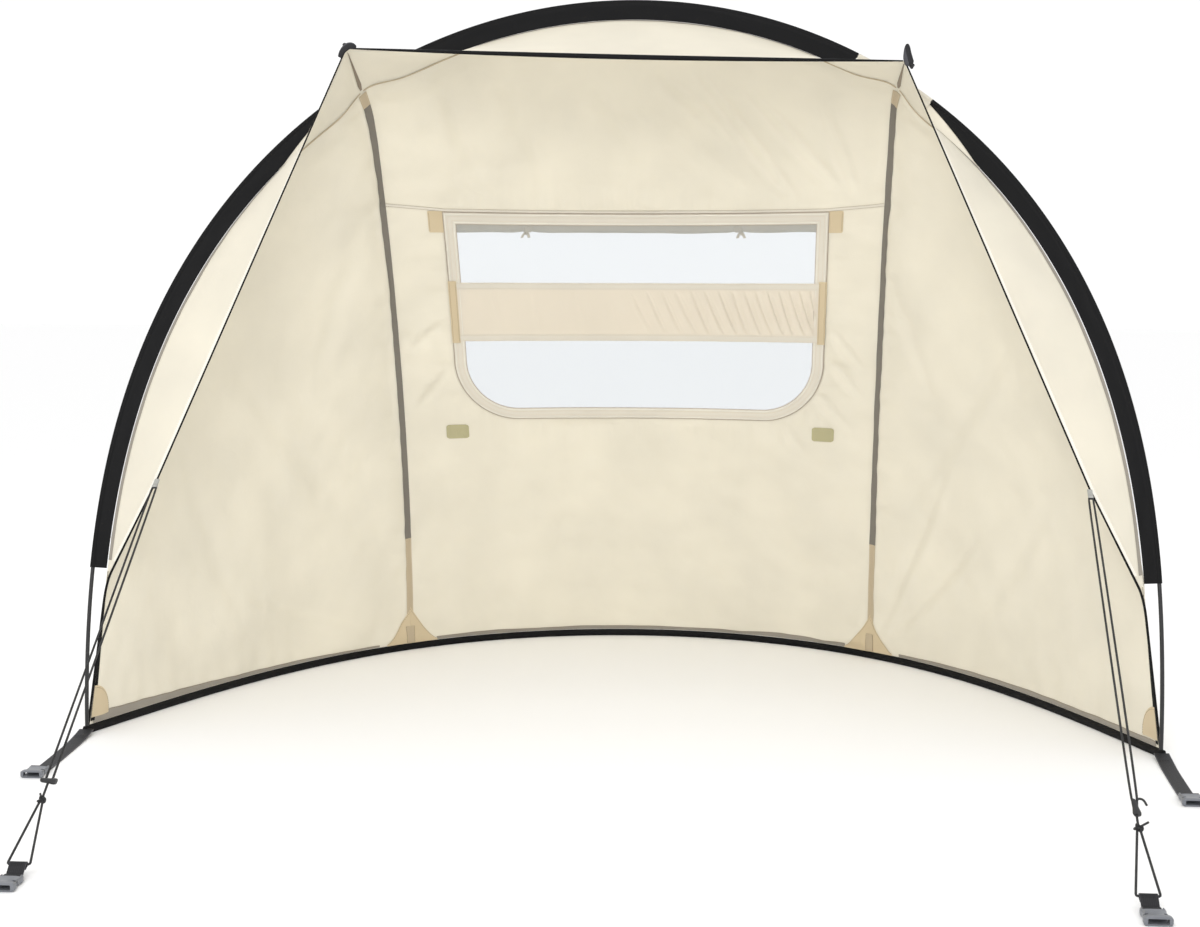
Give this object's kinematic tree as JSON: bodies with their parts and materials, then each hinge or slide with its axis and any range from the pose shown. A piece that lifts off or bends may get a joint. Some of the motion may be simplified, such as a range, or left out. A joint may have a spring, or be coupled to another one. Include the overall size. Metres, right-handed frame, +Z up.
{
  "type": "hot tub canopy",
  "caption": "Pop-up fabric canopy for an inflatable hot tub: leaning arch pole, rib poles, base ring, visor, clear window with rolled cover, guy lines and strap buckles.",
  "frame": {"origin": "the middle of the whole footprint, straps and buckles included, on the plane of the base ring's underside", "axes": "+X to the right seen from the open front, +Y to the rear, +Z up"},
  "size_m": [1.847, 1.7895, 1.2994],
  "materials": {
    "cream_fabric": "thin cream polyester, slightly translucent, soft creases",
    "black_fabric": "matt black woven polyester",
    "webbing": "charcoal woven webbing",
    "tape": "beige binding tape, stitched",
    "grey_tape": "light grey woven tape",
    "hook_tape": "olive hook-and-loop tape",
    "cord": "black braided cord",
    "pole": "black fibreglass rod, satin",
    "black_plastic": "moulded black plastic",
    "buckle": "moulded grey plastic, satin",
    "clear_film": "clear flexible window film, slightly wavy"
  },
  "bodies": {
    "root": {"arch_pole": "pole", "arch_sleeve_left": "black_fabric", "arch_sleeve_right": "black_fabric", "arch_sleeve_top": "black_fabric", "back_panel": "cream_fabric", "band_end_tape_left": "tape", "band_end_tape_right": "tape", "base_pocket_left": "tape", "base_pocket_right": "tape", "base_ring": "black_fabric", "corner_buckle_left": "buckle", "corner_buckle_right": "buckle", "corner_strap_left": "webbing", "corner_strap_right": "webbing", "cover_roll": "cream_fabric", "cover_tie_left": "tape", "cover_tie_right": "tape", "front_piping_left": "black_fabric", "front_piping_right": "black_fabric", "front_piping_top": "black_fabric", "guy_buckle_left": "buckle", "guy_buckle_right": "buckle", "guy_knot_left": "cord", "guy_knot_right": "cord", "guy_line_left": "cord", "guy_line_right": "cord", "guy_loop_left": "cord", "guy_loop_right": "cord", "guy_strap_left": "webbing", "guy_strap_right": "webbing", "guy_tab_left": "grey_tape", "guy_tab_right": "grey_tape", "guy_tensioner_left": "black_plastic", "guy_tensioner_right": "black_plastic", "hook_patch_left": "hook_tape", "hook_patch_right": "hook_tape", "peak_pocket_left": "webbing", "peak_pocket_right": "webbing", "rib_pole_left": "pole", "rib_pole_right": "pole", "rib_sleeve_left": "black_fabric", "rib_sleeve_right": "black_fabric", "seam_tape": "tape", "side_panel_left": "cream_fabric", "side_panel_right": "cream_fabric", "visor_roof": "cream_fabric", "visor_side_left": "cream_fabric", "visor_side_right": "cream_fabric", "window_band": "cream_fabric", "window_binding": "tape", "window_pane": "clear_film"}
  },
  "joints": []
}
